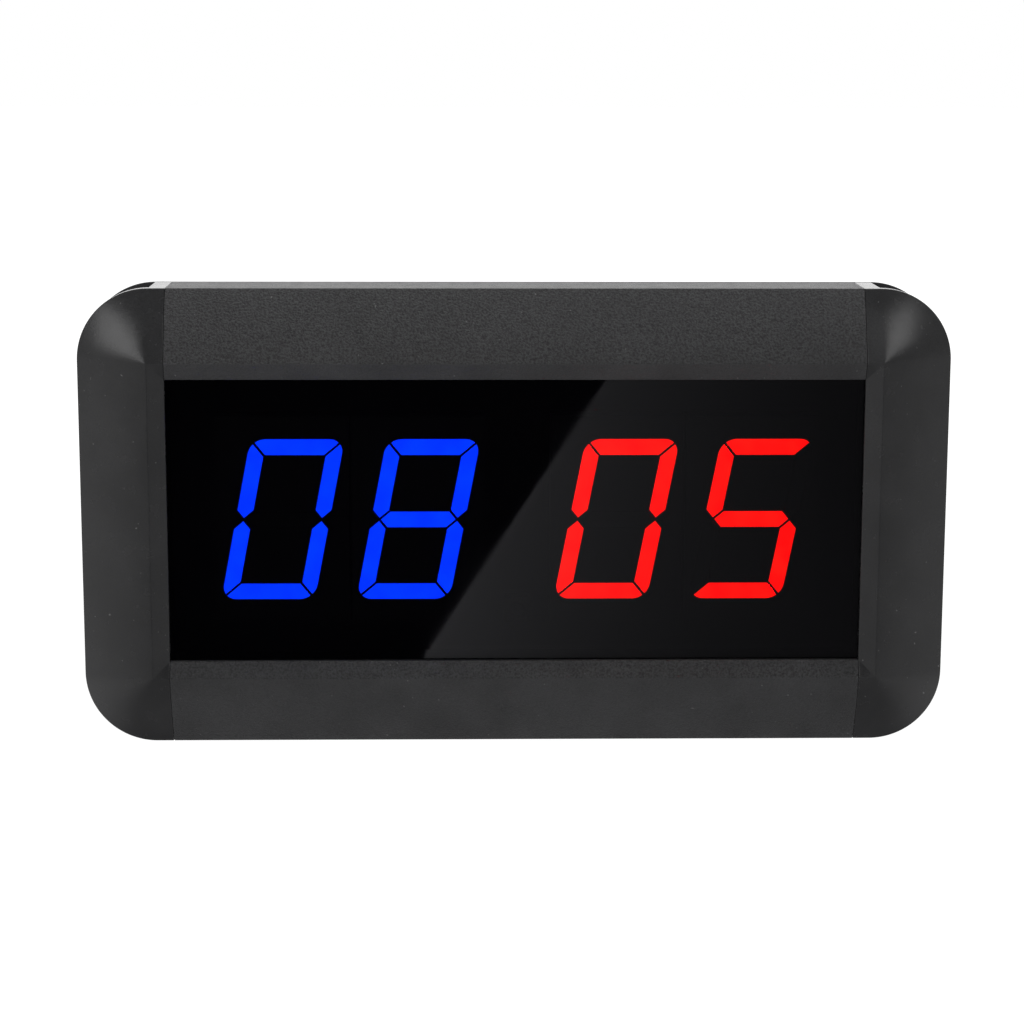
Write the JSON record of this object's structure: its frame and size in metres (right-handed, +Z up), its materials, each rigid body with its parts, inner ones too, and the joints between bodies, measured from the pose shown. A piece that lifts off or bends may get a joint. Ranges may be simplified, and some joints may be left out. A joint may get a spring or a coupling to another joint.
{
  "type": "gym round timer",
  "caption": "Free-standing LED round timer with a tinted window, slanted seven-segment digits, railed frame, side switch and buttons, and swing-out feet.",
  "frame": {"origin": "middle of the base, halfway between the front ridge and the rear face", "axes": "+X to the viewer's right seen from the front, +Y from the window to the rear, +Z up"},
  "size_m": [0.2, 0.031, 0.106],
  "materials": {
    "rail_plastic": "fine spark texture",
    "cap_plastic": "smooth satin moulding",
    "cover_plastic": "textured matt moulding",
    "black_plastic": "semi-gloss moulding",
    "tinted_acrylic": "polished smoked acrylic",
    "blue_light": "lit translucent epoxy",
    "red_light": "lit translucent epoxy",
    "circuit_board": "solder mask",
    "bright_metal": "bright zinc plate",
    "black_rubber": "matt",
    "red_insulation": "satin wire insulation"
  },
  "bodies": {
    "housing": {"top_rail": "rail_plastic", "bottom_rail": "rail_plastic", "left_end_cap": "cap_plastic", "right_end_cap": "cap_plastic", "front_lens": "tinted_acrylic", "lens_spacer_frame": "black_plastic", "display_board": "circuit_board", "digit_housing_1": "black_plastic", "digit_housing_2": "black_plastic", "digit_housing_3": "black_plastic", "digit_housing_4": "black_plastic", "digit_light_guide_1": "blue_light", "digit_light_guide_2": "blue_light", "digit_light_guide_3": "red_light", "digit_light_guide_4": "red_light", "infrared_receiver": "black_plastic", "control_board": "circuit_board", "board_spacer_1": "bright_metal", "board_spacer_2": "bright_metal", "board_spacer_3": "bright_metal", "board_spacer_4": "bright_metal", "board_screw_1": "bright_metal", "board_screw_2": "bright_metal", "board_screw_3": "bright_metal", "board_screw_4": "bright_metal", "pin_header": "black_plastic", "microcontroller": "black_plastic", "capacitor_1": "bright_metal", "capacitor_2": "bright_metal", "coin_cell_holder": "black_plastic", "coin_cell": "bright_metal", "buzzer": "black_plastic", "back_cover": "cover_plastic", "cover_screw_1": "bright_metal", "cover_screw_2": "bright_metal", "cover_screw_3": "bright_metal", "cover_screw_4": "bright_metal", "left_foot_screw": "bright_metal", "right_foot_screw": "bright_metal", "button_board": "circuit_board", "button_board_screw_1": "bright_metal", "button_board_screw_2": "bright_metal", "tact_switch_1": "black_plastic", "tact_switch_2": "black_plastic", "tact_switch_3": "black_plastic", "power_switch_body": "black_plastic", "power_socket": "black_plastic", "power_wire_red": "red_insulation", "power_wire_black": "black_rubber", "button_ribbon": "black_rubber"},
    "button_1": {"push_button_1": "black_rubber"},
    "button_2": {"push_button_2": "black_rubber"},
    "button_3": {"push_button_3": "black_rubber"},
    "rocker": {"power_rocker": "black_plastic"},
    "left_foot": {"left_swing_foot": "cap_plastic"},
    "right_foot": {"right_swing_foot": "cap_plastic"}
  },
  "joints": [
    {"name": "button_1_press", "type": "slide", "parent": "housing", "child": "button_1", "axis": [1, 0, 0], "range_m": [0, 0.0008], "stiffness_N_per_m": 800},
    {"name": "button_2_press", "type": "slide", "parent": "housing", "child": "button_2", "axis": [1, 0, 0], "range_m": [0, 0.0008], "stiffness_N_per_m": 800},
    {"name": "button_3_press", "type": "slide", "parent": "housing", "child": "button_3", "axis": [1, 0, 0], "range_m": [0, 0.0008], "stiffness_N_per_m": 800},
    {"name": "power_rocker_tilt", "type": "hinge", "parent": "housing", "child": "rocker", "pos_m": [0.098, 0.00025, 0.068], "axis": [0, 1, 0], "range_deg": [0, 14]},
    {"name": "left_foot_swing", "type": "hinge", "parent": "housing", "child": "left_foot", "pos_m": [-0.082, 0.0119, 0.002], "axis": [0, 0, 1], "range_deg": [0, 90]},
    {"name": "right_foot_swing", "type": "hinge", "parent": "housing", "child": "right_foot", "pos_m": [0.082, 0.0119, 0.002], "axis": [0, 0, -1], "range_deg": [0, 90]}
  ]
}
